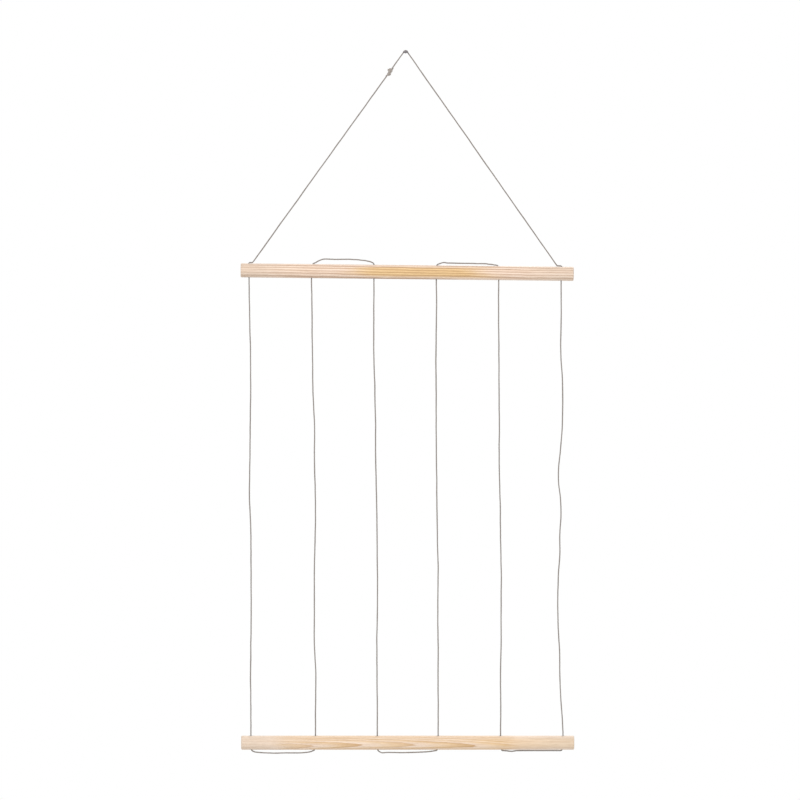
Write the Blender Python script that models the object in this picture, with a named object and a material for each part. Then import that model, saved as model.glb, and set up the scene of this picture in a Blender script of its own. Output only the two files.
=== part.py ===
"""Hanging photo display: two drilled pine dowels, one looped twine and the nail it hangs on.

Metres, +Z up. The wall is the plane y = 0 and the room lies on its -Y side. The origin is the
nail's axis where it enters the wall. Seen from the room, +X is to the right.

The real twine is one closed loop. Here it is cut where it bends when the display swings, so each
stretch is an object of its own. At such a bend one stretch ends in a dome round the bending point
and the other stops a small gap short of that dome.
"""

import math

import bmesh
import bpy
from mathutils import Matrix, Vector

# Dowels, both sawn from the same round stock
DOWEL_LENGTH = 0.400
DOWEL_DIAMETER = 0.017
DOWEL_EDGE_RADIUS = 0.0014
WALL_CLEARANCE = 0.0003
TOP_DOWEL_DROP = 0.2645
DOWEL_SPACING = 0.5655
TOP_DOWEL_SHIFT = 0.0019
BOTTOM_DOWEL_SHIFT = 0.0025
TOP_DOWEL_TILT = math.radians(0.61)

# Holes through each dowel, counted from the left
HOLE_COUNT = 6
HOLE_DIAMETER = 0.0040
HOLE_EASE = 0.0006
HOLE_END_MARGIN = 0.0125
TOP_HOLES_OFFSET = -0.0024
BOTTOM_HOLES_OFFSET = -0.0009
BOTTOM_HOLE_DRIFT_SHARES = (0.0, 0.035, 0.025, 0.0, 0.0, 0.0)
CUT_OVERRUN = 0.002

# Twine
TWINE_DIAMETER = 0.0015
TWINE_GAP = 0.0003
FOOT_GAP = 0.0008
MOUTH_BEND_RADIUS = 0.0022
MOUTH_LEAN = 0.0009
MOUTH_HINGE_RISE = 0.0013
STUB_LENGTH = 0.004
LEFT_END_RUN = 0.0041
RIGHT_END_RUN = 0.0051
LEG_HINGE_DROP = 0.0015
LEG_STEP = 0.015

# Loops of twine, from the dowel's surface to the middle of the twine at its furthest
TOP_LEFT_LOOP_RISE = 0.0062
TOP_RIGHT_LOOP_RISE = 0.0035
BOTTOM_LEFT_LOOP_DROP = 0.0041
BOTTOM_MIDDLE_LOOP_DROP = 0.0037
BOTTOM_RIGHT_LOOP_DROP = 0.0019

# Knot in the left leg
KNOT_DISTANCE = 0.0301
KNOT_LENGTH = 0.0115
KNOT_DIAMETER = 0.0050

# Nail with a flat bar-shaped head
NAIL_SHANK_DIAMETER = 0.0014
NAIL_BURIED_LENGTH = 0.012
NAIL_POINT_LENGTH = 0.003
NAIL_HEAD_WIDTH = 0.006
NAIL_HEAD_HEIGHT = 0.003
NAIL_HEAD_THICKNESS = 0.0012
NAIL_TWINE_ROOM = 0.003

# Sizes that follow from those above
DOWEL_RADIUS = DOWEL_DIAMETER / 2
HOLE_RADIUS = HOLE_DIAMETER / 2
HOLE_PITCH = (DOWEL_LENGTH - 2 * HOLE_END_MARGIN) / (HOLE_COUNT - 1)
TWINE_RADIUS = TWINE_DIAMETER / 2
NAIL_SHANK_RADIUS = NAIL_SHANK_DIAMETER / 2
TWINE_Y = -(DOWEL_RADIUS + WALL_CLEARANCE)
LYING_HEIGHT = TWINE_RADIUS + TWINE_GAP
DOME_ROOM = TWINE_RADIUS + TWINE_GAP
TURN_RADIUS = NAIL_SHANK_RADIUS + LYING_HEIGHT
NAIL_HEAD_BACK_Y = TWINE_Y - NAIL_TWINE_ROOM
MOUTH_HINGE_HEIGHT = DOWEL_RADIUS + MOUTH_HINGE_RISE

# Counts and angles of the shapes' facets; the strings are counted from the left, and the foot of
# the level string carries the hinge that keeps the bottom dowel level
DOWEL_SEGMENTS = 48
HOLE_SEGMENTS = 16
KNOT_SEGMENTS = 12
NAIL_SEGMENTS = 16
EDGE_STEPS = 3
TWINE_BEVEL_RESOLUTION = 2
DOME_ANGLES = (75, 50, 25)
TURN_STEPS = 8
BEND_STEPS = 3
LOOP_SMOOTH_STEPS = 2
STRING_SMOOTH_STEPS = 3
LEVEL_STRING = 3
SHARP_ANGLE = math.radians(40)
MERGE_DISTANCE = 0.000001

# How each string bows sideways on its way down: share of its length, share of the hole pitch
STRING_BOW_SHARES = (
    ((0.08, 0.008), (0.16, 0.018), (0.24, 0.020), (0.32, 0.008), (0.40, 0.0), (0.48, -0.005),
     (0.56, 0.010), (0.64, 0.012), (0.72, 0.012), (0.80, 0.005), (0.88, 0.0), (0.95, 0.003)),
    ((0.08, 0.004), (0.16, 0.006), (0.24, 0.006), (0.32, 0.027), (0.40, 0.022), (0.48, 0.031),
     (0.56, 0.023), (0.64, 0.003), (0.72, -0.002), (0.80, -0.006), (0.88, 0.012), (0.95, 0.004)),
    ((0.08, -0.006), (0.16, -0.010), (0.24, 0.002), (0.32, 0.008), (0.40, 0.008), (0.48, 0.016),
     (0.56, 0.019), (0.64, 0.021), (0.72, 0.019), (0.80, 0.002), (0.88, 0.004), (0.95, 0.005)),
    ((0.04, 0.005), (0.09, -0.006), (0.16, -0.011), (0.24, -0.011), (0.32, -0.010), (0.40, -0.010),
     (0.48, -0.005), (0.56, 0.0), (0.64, 0.010), (0.72, 0.0), (0.80, 0.003), (0.90, 0.003)),
    ((0.08, -0.005), (0.16, -0.002), (0.24, -0.004), (0.32, -0.001), (0.40, -0.003), (0.48, 0.006),
     (0.56, 0.012), (0.64, 0.020), (0.72, 0.017), (0.80, 0.016), (0.88, 0.006), (0.95, 0.004)),
    ((0.08, -0.002), (0.16, -0.006), (0.21, 0.016), (0.28, 0.018), (0.33, 0.005), (0.37, -0.022),
     (0.41, -0.052), (0.44, -0.053), (0.48, -0.024), (0.52, -0.017), (0.56, -0.039), (0.60, -0.036),
     (0.65, -0.062), (0.72, -0.075), (0.77, -0.069), (0.82, -0.050), (0.88, -0.044), (0.94, -0.025)),
)

# How each loop runs between its two holes: share of the way across, share of its rise or drop
# beyond lying on the wood
TOP_LEFT_LOOP_SHARES = (
    (0.021, -0.20), (0.043, 0.02), (0.067, 0.16), (0.095, 0.42), (0.127, 0.66), (0.159, 0.845),
    (0.191, 0.97), (0.25, 0.99), (0.32, 0.96), (0.384, 0.94), (0.48, 0.97), (0.59, 1.0),
    (0.672, 0.95), (0.736, 0.91), (0.80, 0.81), (0.864, 0.72), (0.896, 0.61), (0.929, 0.53),
    (0.961, 0.36), (0.988, 0.14), (0.999, -0.14))
TOP_RIGHT_LOOP_SHARES = (
    (0.012, -0.15), (0.036, 0.25), (0.066, 0.60), (0.098, 0.90), (0.130, 1.0), (0.162, 0.80),
    (0.195, 0.76), (0.26, 0.76), (0.32, 0.73), (0.42, 0.70), (0.51, 0.71), (0.58, 0.71),
    (0.64, 0.64), (0.74, 0.64), (0.80, 0.60), (0.835, 0.41), (0.867, 0.38), (0.90, 0.25),
    (0.932, 0.06))
BOTTOM_LEFT_LOOP_SHARES = (
    (0.012, -0.15), (0.030, 0.19), (0.055, 0.48), (0.090, 0.62), (0.133, 0.74), (0.21, 0.87),
    (0.287, 0.93), (0.366, 1.0), (0.52, 0.90), (0.64, 0.90), (0.753, 0.90), (0.83, 0.77),
    (0.907, 0.51), (0.950, 0.19))
BOTTOM_MIDDLE_LOOP_SHARES = (
    (0.012, -0.09), (0.035, 0.47), (0.060, 0.83), (0.085, 1.0), (0.12, 0.93), (0.168, 0.83),
    (0.25, 0.85), (0.42, 0.93), (0.50, 0.87), (0.64, 0.77), (0.74, 0.64), (0.82, 0.53),
    (0.88, 0.34), (0.935, 0.12))
BOTTOM_RIGHT_LOOP_SHARES = (
    (0.060, 0.06), (0.110, 0.47), (0.150, 0.88), (0.176, 1.0), (0.21, 0.70), (0.256, 0.12),
    (0.32, 0.0), (0.45, 0.0), (0.60, 0.0), (0.75, 0.0), (0.88, 0.0), (0.94, 0.0))

# The knot's outline: share of its length, share of its radius
KNOT_PROFILE_SHARES = (
    (0.0, 0.0), (0.0, 0.34), (0.06, 0.62), (0.16, 0.88), (0.28, 1.0), (0.40, 0.94), (0.50, 0.70),
    (0.57, 0.64), (0.66, 0.76), (0.77, 0.80), (0.88, 0.68), (0.96, 0.48), (1.0, 0.34), (1.0, 0.0))

# Colours as seen, from 0 to 1
TOP_PINE_COLOUR = (0.90, 0.79, 0.66)
BOTTOM_PINE_COLOUR = (0.91, 0.80, 0.67)
TWINE_COLOUR = (0.64, 0.61, 0.57)
STEEL_COLOUR = (0.36, 0.34, 0.35)


# Scene and materials

def clear_scene():
    for old in list(bpy.data.objects):
        bpy.data.objects.remove(old, do_unlink=True)


def linear(channel):
    """A colour channel as Blender's shaders take it."""
    if channel <= 0.04045:
        return channel / 12.92
    return ((channel + 0.055) / 1.055) ** 2.4


def make_material(name, colour, roughness, metallic=0.0):
    material = bpy.data.materials.new(name)
    material.use_nodes = True
    shader = material.node_tree.nodes["Principled BSDF"]
    shader.inputs["Base Color"].default_value = [linear(c) for c in colour] + [1.0]
    shader.inputs["Roughness"].default_value = roughness
    shader.inputs["Metallic"].default_value = metallic
    return material


# Bodies, as empties at their hinges

class Body:
    """The pieces that move together, under an empty that stands on their hinge's axis."""

    def __init__(self, name, hinge, parent=None):
        self.hinge = Vector(hinge)
        self.empty = bpy.data.objects.new(name, None)
        bpy.context.collection.objects.link(self.empty)
        if parent:
            self.empty.parent = parent.empty
            self.empty.location = self.hinge - parent.hinge
        else:
            self.empty.location = self.hinge

    def take(self, piece, material, location=None):
        piece.parent = self.empty
        if location is not None:
            piece.location = location - self.hinge
        piece.data.materials.append(material)
        return piece


# Shapes

def object_from(name, mesh_in_progress):
    mesh = bpy.data.meshes.new(name)
    mesh_in_progress.to_mesh(mesh)
    mesh_in_progress.free()
    mesh.shade_smooth()
    mesh.set_sharp_from_angle(angle=SHARP_ANGLE)
    piece = bpy.data.objects.new(name, mesh)
    bpy.context.collection.objects.link(piece)
    return piece


def turned(name, profile, segments):
    """A solid turned round Z from (radius, height) points that start and end on the axis."""
    shape = bmesh.new()
    corners = [shape.verts.new((radius, 0, height)) for radius, height in profile]
    edges = [shape.edges.new(pair) for pair in zip(corners, corners[1:])]
    bmesh.ops.spin(shape, geom=corners + edges, cent=(0, 0, 0), axis=(0, 0, 1),
                   angle=math.tau, steps=segments, use_merge=True)
    bmesh.ops.remove_doubles(shape, verts=shape.verts, dist=MERGE_DISTANCE)
    bmesh.ops.recalc_face_normals(shape, faces=shape.faces)
    return object_from(name, shape)


def turn_to(piece, direction):
    """Points the piece's own Z axis along a direction."""
    piece.rotation_euler = Vector((0, 0, 1)).rotation_difference(direction).to_euler()


def smooth_route(points, steps):
    """Points along a centripetal Catmull-Rom curve through the given ones."""
    padded = [2 * points[0] - points[1], *points, 2 * points[-1] - points[-2]]
    route = []
    for a, b, c, d in zip(padded, padded[1:], padded[2:], padded[3:]):
        t_b = math.sqrt((b - a).length)
        t_c = t_b + math.sqrt((c - b).length)
        t_d = t_c + math.sqrt((d - c).length)
        for step in range(steps):
            t = t_b + (t_c - t_b) * step / steps
            ab = a + (b - a) * (t / t_b)
            bc = b + (c - b) * ((t - t_b) / (t_c - t_b))
            cd = c + (d - c) * ((t - t_c) / (t_d - t_c))
            abc = ab + (bc - ab) * (t / t_c)
            bcd = bc + (cd - bc) * ((t - t_b) / (t_d - t_b))
            route.append(abc + (bcd - abc) * ((t - t_b) / (t_c - t_b)))
    return route + [points[-1]]


def dome(centre, outward):
    """(point, radius share) pairs that round off a twine end, from its tip to its centre."""
    return [
        (centre + outward * TWINE_RADIUS * math.sin(math.radians(angle)), math.cos(math.radians(angle)))
        for angle in DOME_ANGLES
    ]


def twine(name, route, body, dome_start=False, dome_end=False):
    """A stretch of twine along a route in the world, with domes where it bends when it swings."""
    rings = [(point, 1.0) for point in route]
    if dome_start:
        rings = dome(route[0], (route[0] - route[1]).normalized()) + rings
    if dome_end:
        rings += reversed(dome(route[-1], (route[-1] - route[-2]).normalized()))
    curve = bpy.data.curves.new(name, "CURVE")
    curve.dimensions = "3D"
    curve.bevel_depth = TWINE_RADIUS
    curve.bevel_resolution = TWINE_BEVEL_RESOLUTION
    curve.use_fill_caps = True
    spline = curve.splines.new("POLY")
    spline.points.add(len(rings) - 1)
    for point, (place, share) in zip(spline.points, rings):
        point.co = (*(place - body.hinge), 1.0)
        point.radius = share
    piece = bpy.data.objects.new(name, curve)
    bpy.context.collection.objects.link(piece)
    return body.take(piece, TWINE)


# Places on the dowels: along is from the dowel's middle, height is from its axis, in the twine's plane

class Dowel:
    def __init__(self, centre, tilt, holes_offset, drift_shares):
        self.centre = Vector(centre)
        self.rotation = Matrix.Rotation(tilt, 3, "Y")
        self.direction = self.rotation @ Vector((1, 0, 0))
        self.holes = [
            holes_offset + HOLE_PITCH * (number - (HOLE_COUNT - 1) / 2 + drift)
            for number, drift in zip(range(HOLE_COUNT), drift_shares)
        ]

    def place(self, along, height):
        return self.centre + self.rotation @ Vector((along, 0, height))

    def solid(self, name, body, material):
        piece = turned(name, dowel_profile(), DOWEL_SEGMENTS)
        turn_to(piece, self.direction)
        body.take(piece, material, self.centre)
        drill = turned(name + "_drill", drill_profile(), HOLE_SEGMENTS)
        drill.hide_render = True
        drill.display_type = "WIRE"
        for number, along in enumerate(self.holes):
            cutter = drill if number == 0 else drill.copy()
            if number:
                bpy.context.collection.objects.link(cutter)
            cutter.name = f"{name}_drill_{number + 1}"
            cutter.parent = body.empty
            cutter.location = self.place(along, 0) - body.hinge
            cutter.rotation_euler = self.rotation.to_euler()
            cut = piece.modifiers.new(f"hole_{number + 1}", "BOOLEAN")
            cut.operation = "DIFFERENCE"
            cut.solver = "EXACT"
            cut.object = cutter
        return piece


def dowel_profile():
    """Half the dowel's outline, with both sawn ends rounded over."""
    half = DOWEL_LENGTH / 2
    flat = DOWEL_RADIUS - DOWEL_EDGE_RADIUS
    corner = [
        (flat + DOWEL_EDGE_RADIUS * math.sin(turn), half - DOWEL_EDGE_RADIUS * (1 - math.cos(turn)))
        for turn in (math.pi / 2 * step / EDGE_STEPS for step in range(EDGE_STEPS + 1))
    ]
    top = [(0.0, half), *corner]
    return top + [(radius, -height) for radius, height in reversed(top)]


def drill_profile():
    """A hole with its mouths eased, cut past the wood on both sides."""
    outer = DOWEL_RADIUS + CUT_OVERRUN
    top = [
        (0.0, outer),
        (HOLE_RADIUS + HOLE_EASE + CUT_OVERRUN, outer),
        (HOLE_RADIUS, DOWEL_RADIUS - HOLE_EASE),
    ]
    return top + [(radius, -height) for radius, height in reversed(top)]


def mouth_bend(dowel, mouth, towards, side):
    """Twine rising out of a hole and lying down along the wood; side is 1 above, -1 below."""
    bend = []
    for step in range(BEND_STEPS + 1):
        turn = math.pi / 2 * step / BEND_STEPS
        out = DOWEL_RADIUS + LYING_HEIGHT - MOUTH_BEND_RADIUS * (1 - math.sin(turn))
        bend.append(dowel.place(mouth + towards * MOUTH_BEND_RADIUS * (1 - math.cos(turn)), side * out))
    return bend


def in_hole(dowel, hole, mouth, side):
    """Twine inside a hole, from its hinge beyond the far side to near the mouth on this side."""
    far = MOUTH_HINGE_HEIGHT - DOME_ROOM
    near = DOWEL_RADIUS - MOUTH_BEND_RADIUS
    straight_part = [dowel.place(hole, side * height) for height in (-far, -near, 0.0)]
    return straight_part + [dowel.place(mouth, side * near)]


def loop_route(dowel, start_number, side, reach, shares, start_lies, end_lies):
    """A loop from one hole to the next; each end either lies on the wood or drops straight in."""
    start, end = dowel.holes[start_number], dowel.holes[start_number + 1]
    start_mouth = start + MOUTH_LEAN if start_lies else start
    end_mouth = end - MOUTH_LEAN if end_lies else end
    route = in_hole(dowel, start, start_mouth, side)
    if start_lies:
        route += mouth_bend(dowel, start_mouth, 1, side)
    for across, share in shares:
        height = DOWEL_RADIUS + LYING_HEIGHT + share * (reach - LYING_HEIGHT)
        route.append(dowel.place(start + across * (end - start), side * height))
    if end_lies:
        route += reversed(mouth_bend(dowel, end_mouth, -1, side))
    return route + in_hole(dowel, end, end_mouth, side)[::-1]


def end_turn_route(dowel, hole, towards, run):
    """From below the top dowel up through an end hole, then along the wood to the hanger leg."""
    leg = dowel.place(hole + towards * (run - DOME_ROOM), DOWEL_RADIUS + LYING_HEIGHT)
    mouth = hole - towards * MOUTH_LEAN
    return in_hole(dowel, hole, mouth, 1) + mouth_bend(dowel, mouth, towards, 1) + [leg]


def leg_line(foot, side):
    """(direction up the leg, point where it leaves the turn over the nail), in the twine's plane."""
    away = Vector((foot.x, 0, foot.z))
    lean = math.asin(TURN_RADIUS / away.length)
    bearing = math.atan2(away.z, away.x) + side * (math.pi / 2 - lean)
    touch = Vector((TURN_RADIUS * math.cos(bearing), TWINE_Y, TURN_RADIUS * math.sin(bearing)))
    return (touch - foot).normalized(), touch


def straight(start, end, step):
    count = max(2, round((end - start).length / step))
    return [start.lerp(end, number / count) for number in range(count + 1)]


def turn_over_nail(left_touch, right_touch):
    """The arc of twine that lies on the nail, from where the left leg leaves it to the right leg."""
    first = math.atan2(left_touch.z, left_touch.x)
    last = math.atan2(right_touch.z, right_touch.x)
    arc = []
    for step in range(TURN_STEPS + 1):
        angle = first + (last - first) * step / TURN_STEPS
        arc.append(Vector((TURN_RADIUS * math.cos(angle), TWINE_Y, TURN_RADIUS * math.sin(angle))))
    return arc


def bowed(start, end, bow_shares):
    """A string's route: the straight line down, moved sideways by its bows."""
    return [start] + [
        start.lerp(end, down) + Vector((aside * HOLE_PITCH, 0, 0)) for down, aside in bow_shares
    ] + [end]


# Pieces

def build_loop(name, body, dowel, start_number, side, reach, shares, start_lies, end_lies):
    route = loop_route(dowel, start_number, side, reach, shares, start_lies, end_lies)
    twine(name, smooth_route(route, LOOP_SMOOTH_STEPS), body)


def build_nail(body):
    head_front = NAIL_HEAD_BACK_Y - NAIL_HEAD_THICKNESS
    straight_half = (NAIL_HEAD_WIDTH - NAIL_HEAD_HEIGHT) / 2
    head_radius = NAIL_HEAD_HEIGHT / 2
    shape = bmesh.new()
    outline = []
    for middle, start_angle in ((straight_half, -math.pi / 2), (-straight_half, math.pi / 2)):
        for step in range(NAIL_SEGMENTS // 2 + 1):
            angle = start_angle + math.pi * step / (NAIL_SEGMENTS // 2)
            outline.append((middle + head_radius * math.cos(angle), head_front,
                            head_radius * math.sin(angle)))
    face = shape.faces.new([shape.verts.new(corner) for corner in outline])
    pushed = bmesh.ops.extrude_face_region(shape, geom=[face])
    moved = [item for item in pushed["geom"] if isinstance(item, bmesh.types.BMVert)]
    bmesh.ops.translate(shape, verts=moved, vec=(0, NAIL_HEAD_THICKNESS, 0))
    bmesh.ops.recalc_face_normals(shape, faces=shape.faces)
    nail = object_from("wall_nail", shape)
    body.take(nail, STEEL)
    shank = turned("wall_nail_shank", (
        (0.0, head_front + NAIL_HEAD_THICKNESS / 2),
        (NAIL_SHANK_RADIUS, head_front + NAIL_HEAD_THICKNESS / 2),
        (NAIL_SHANK_RADIUS, NAIL_BURIED_LENGTH - NAIL_POINT_LENGTH),
        (0.0, NAIL_BURIED_LENGTH),
    ), NAIL_SEGMENTS)
    turn_to(shank, Vector((0, 1, 0)))
    shank.parent = body.empty
    shank.hide_render = True
    shank.display_type = "WIRE"
    joined = nail.modifiers.new("shank", "BOOLEAN")
    joined.operation = "UNION"
    joined.solver = "EXACT"
    joined.object = shank


def build_knot(body, centre, direction):
    profile = [(radius * KNOT_DIAMETER / 2, along * KNOT_LENGTH) for along, radius in KNOT_PROFILE_SHARES]
    knot = turned("hanger_knot", profile, KNOT_SEGMENTS)
    turn_to(knot, direction)
    body.take(knot, TWINE, centre - direction * KNOT_LENGTH / 2)


def build_hanger(wall, left_foot, right_foot):
    """The turn of twine that sways on the nail, and its two legs, with the knot in the left one."""
    nail_turn = Body("nail_hinge", (0, TWINE_Y, 0), wall)
    left_up, left_touch = leg_line(left_foot, -1)
    right_up, right_touch = leg_line(right_foot, 1)
    left_top = left_touch - left_up * ((left_touch.z + LEG_HINGE_DROP) / left_up.z)
    right_top = right_touch - right_up * ((right_touch.z + LEG_HINGE_DROP) / right_up.z)
    turn = turn_over_nail(left_touch, right_touch)
    twine("hanger_turn", [left_top + left_up * DOME_ROOM, *turn, right_top + right_up * DOME_ROOM],
          nail_turn)
    hanger = Body("lift_hinge", left_top.lerp(right_top, 0.5), nail_turn)
    knot = left_touch - left_up * KNOT_DISTANCE
    knot_reach = KNOT_LENGTH / 2 + TWINE_GAP
    build_knot(hanger, knot, -left_up)
    twine("hanger_left_upper", straight(left_top, knot + left_up * knot_reach, LEG_STEP), hanger,
          dome_start=True)
    twine("hanger_left_lower", straight(knot - left_up * knot_reach, left_foot, LEG_STEP), hanger,
          dome_end=True)
    twine("hanger_right", straight(right_top, right_foot, LEG_STEP), hanger,
          dome_start=True, dome_end=True)
    return hanger


def build_top_bar(top, left_foot, right_foot, hanger):
    """The top dowel and the twine that it holds."""
    bar = Body("top_roll_hinge", left_foot.lerp(right_foot, 0.5), hanger)
    top.solid("top_dowel", bar, TOP_PINE)
    twine("top_end_turn_left", end_turn_route(top, top.holes[0], 1, LEFT_END_RUN), bar)
    twine("top_end_turn_right", end_turn_route(top, top.holes[-1], -1, RIGHT_END_RUN), bar)
    build_loop("top_loop_left", bar, top, 1, 1, TOP_LEFT_LOOP_RISE, TOP_LEFT_LOOP_SHARES, False, False)
    build_loop("top_loop_right", bar, top, 3, 1, TOP_RIGHT_LOOP_RISE, TOP_RIGHT_LOOP_SHARES, False, True)
    return bar


def build_curtain(top, bottom, top_bar):
    """The six strings, each with a head that swings forward and a foot that stays upright."""
    down = Vector((0, 0, -1))
    curtain_head = Body("curtain_swing_hinge", top.place(0, -MOUTH_HINGE_HEIGHT), top_bar)
    heads = [top.place(along, -MOUTH_HINGE_HEIGHT) for along in top.holes]
    feet = [bottom.place(along, MOUTH_HINGE_HEIGHT) for along in bottom.holes]
    strings = []
    for number, (head, foot, bow_shares) in enumerate(zip(heads, feet, STRING_BOW_SHARES), 1):
        upper = head + down * STUB_LENGTH
        lower = foot - down * STUB_LENGTH
        twine(f"string_{number}_head", straight(head, upper - down * DOME_ROOM, TWINE_DIAMETER),
              curtain_head, dome_start=True)
        string = Body(f"string_{number}_hinge", upper, curtain_head)
        twine(f"string_{number}", smooth_route(bowed(upper, lower, bow_shares), STRING_SMOOTH_STEPS),
              string, dome_start=True, dome_end=True)
        strings.append((string, lower))
    carrier, carrier_foot = strings[LEVEL_STRING - 1]
    curtain_foot = Body("level_hinge", carrier_foot, carrier)
    for number, ((_, lower), foot) in enumerate(zip(strings, feet), 1):
        upper_end = lower + down * (TWINE_RADIUS + FOOT_GAP)
        twine(f"string_{number}_foot", straight(upper_end, foot, TWINE_DIAMETER), curtain_foot,
              dome_end=True)
    return curtain_foot


def build_bottom_bar(bottom, curtain_foot):
    """The bottom dowel and the twine that it holds."""
    bar = Body("bottom_roll_hinge", bottom.place(0, MOUTH_HINGE_HEIGHT), curtain_foot)
    bottom.solid("bottom_dowel", bar, BOTTOM_PINE)
    build_loop("bottom_loop_left", bar, bottom, 0, -1, BOTTOM_LEFT_LOOP_DROP,
               BOTTOM_LEFT_LOOP_SHARES, False, True)
    build_loop("bottom_loop_middle", bar, bottom, 2, -1, BOTTOM_MIDDLE_LOOP_DROP,
               BOTTOM_MIDDLE_LOOP_SHARES, False, True)
    build_loop("bottom_loop_right", bar, bottom, 4, -1, BOTTOM_RIGHT_LOOP_DROP,
               BOTTOM_RIGHT_LOOP_SHARES, True, True)


def build_display():
    top = Dowel((TOP_DOWEL_SHIFT, TWINE_Y, -TOP_DOWEL_DROP), TOP_DOWEL_TILT, TOP_HOLES_OFFSET,
                (0.0,) * HOLE_COUNT)
    bottom = Dowel((BOTTOM_DOWEL_SHIFT, TWINE_Y, -TOP_DOWEL_DROP - DOWEL_SPACING), 0.0,
                   BOTTOM_HOLES_OFFSET, BOTTOM_HOLE_DRIFT_SHARES)
    lying = DOWEL_RADIUS + LYING_HEIGHT
    left_foot = top.place(top.holes[0] + LEFT_END_RUN, lying)
    right_foot = top.place(top.holes[-1] - RIGHT_END_RUN, lying)
    wall = Body("wall_hinge", (0, 0, 0))
    build_nail(wall)
    hanger = build_hanger(wall, left_foot, right_foot)
    top_bar = build_top_bar(top, left_foot, right_foot, hanger)
    curtain_foot = build_curtain(top, bottom, top_bar)
    build_bottom_bar(bottom, curtain_foot)


clear_scene()
TOP_PINE = make_material("top_pine", TOP_PINE_COLOUR, 0.6)
BOTTOM_PINE = make_material("bottom_pine", BOTTOM_PINE_COLOUR, 0.6)
TWINE = make_material("twine", TWINE_COLOUR, 0.9)
STEEL = make_material("steel", STEEL_COLOUR, 0.4, 1.0)
build_display()
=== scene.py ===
"""The looks of a hanging photo display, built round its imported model.

Metres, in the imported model's frame: the wall is y = 0, the room is on its -y side, and the nail's
axis enters the wall at the origin. The twine is one closed loop, so it is laid here as one route
from the nail round all the holes and back, and then cut into the stretches that move apart.
"""

import math
import random

import bmesh
import bpy
from mathutils import Matrix, Vector, noise


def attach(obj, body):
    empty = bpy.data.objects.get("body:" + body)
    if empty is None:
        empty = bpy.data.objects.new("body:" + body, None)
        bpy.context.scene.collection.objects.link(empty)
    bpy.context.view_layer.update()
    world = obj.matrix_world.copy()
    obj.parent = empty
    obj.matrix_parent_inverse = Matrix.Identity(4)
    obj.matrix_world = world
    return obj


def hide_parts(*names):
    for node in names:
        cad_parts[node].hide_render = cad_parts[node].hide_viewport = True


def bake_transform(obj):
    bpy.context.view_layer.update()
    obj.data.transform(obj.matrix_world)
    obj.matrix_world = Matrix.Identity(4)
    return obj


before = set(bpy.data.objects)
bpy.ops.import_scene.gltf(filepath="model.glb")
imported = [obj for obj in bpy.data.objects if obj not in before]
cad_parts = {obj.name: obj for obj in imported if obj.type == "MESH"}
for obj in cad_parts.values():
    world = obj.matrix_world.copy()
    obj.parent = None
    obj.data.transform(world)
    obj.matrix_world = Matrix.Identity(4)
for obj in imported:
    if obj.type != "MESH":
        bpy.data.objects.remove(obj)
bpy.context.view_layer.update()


MM = 0.001

# The photograph: what it covers at the display, and where its middle points
PICTURE_WIDTH = 961.4 * MM
VIEW_X = -6.73 * MM
VIEW_Z = -418.2 * MM
CAMERA_LENS = 250
CAMERA_SENSOR = 36

# Studio: half the floor's width and its height, and the strength of each light
FLOOR_HALF = 1.4
FLOOR_Z = -1.3
WORLD_STRENGTH = 0.56
KEY_POWER = 37
FILL_POWER = 12
BACK_POWER = 22

# Dowels
DOWEL_LENGTH = 400 * MM
DOWEL_RADIUS = 8.5 * MM
DOWEL_EDGE_RADIUS = 1.4 * MM
TOP_DOWEL_CENTRE = Vector((1.9, -8.8, -264.5)) * MM
BOTTOM_DOWEL_CENTRE = Vector((2.5, -8.8, -830.0)) * MM
TOP_DOWEL_TILT = math.radians(0.61)

# Holes through each dowel, counted from the left
HOLE_COUNT = 6
HOLE_RADIUS = 2.0 * MM
HOLE_EASE = 0.6 * MM
HOLE_PITCH = 75 * MM
TOP_HOLES_OFFSET = -2.4 * MM
BOTTOM_HOLES_OFFSET = -0.9 * MM
BOTTOM_HOLE_DRIFT_SHARES = (0.0, 0.035, 0.025, 0.0, 0.0, 0.0)

# Facets of the turned wood: round it, along it, and on its rounded edges; and the sanding's depth
DOWEL_SEGMENTS = 96
HOLE_SEGMENTS = 32
CARVING_STEP = 4 * MM
EDGE_STEPS = 6
SANDING_DEPTH = 0.07 * MM
SAWING_DEPTH = 0.12 * MM
DRILL_OVERRUN = 2 * MM

# Where the bottom dowel's figure has its middle, and how far from there it starts and ends to fade
FIGURE_MIDDLE = -15 * MM
FIGURE_CLEAR = 122 * MM
FIGURE_LOST = 155 * MM

# Twine
TWINE_RADIUS = 0.75 * MM
TWINE_Y = TOP_DOWEL_CENTRE.y
LYING_HEIGHT = 1.05 * MM
MOUTH_BEND_RADIUS = 2.2 * MM
MOUTH_LEAN = 0.9 * MM
MOUTH_HINGE_HEIGHT = DOWEL_RADIUS + 1.3 * MM
BEND_STEPS = 6
STUB_LENGTH = 4 * MM
LEFT_END_RUN = 4.1 * MM
RIGHT_END_RUN = 5.1 * MM
TURN_RADIUS = 1.75 * MM
TOP_LEFT_LOOP_RISE = 6.2 * MM
TOP_RIGHT_LOOP_RISE = 3.5 * MM
BOTTOM_LEFT_LOOP_DROP = 4.1 * MM
BOTTOM_MIDDLE_LOOP_DROP = 3.7 * MM
BOTTOM_RIGHT_LOOP_DROP = 1.9 * MM

# Where the stretches that bend over a hinge end, on either side of it
LIFT_REACH = 3.4 * MM
ELBOW_REACH = 4.5 * MM
ELBOW_RADIUS = 2.0 * MM
IN_HOLE_REACH = 2.6 * MM

# Small waves of limp twine: over how long they fade in, and how far they swing
WAVE_FADE = 12 * MM
SHORT_WAVE = 0.22 * MM
LONG_WAVE = 0.30 * MM
LEG_SWAY = 0.4 * MM
STRING_SWAY = 0.5 * MM
SLACK_STRING_SWAY = 1.6 * MM

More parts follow.
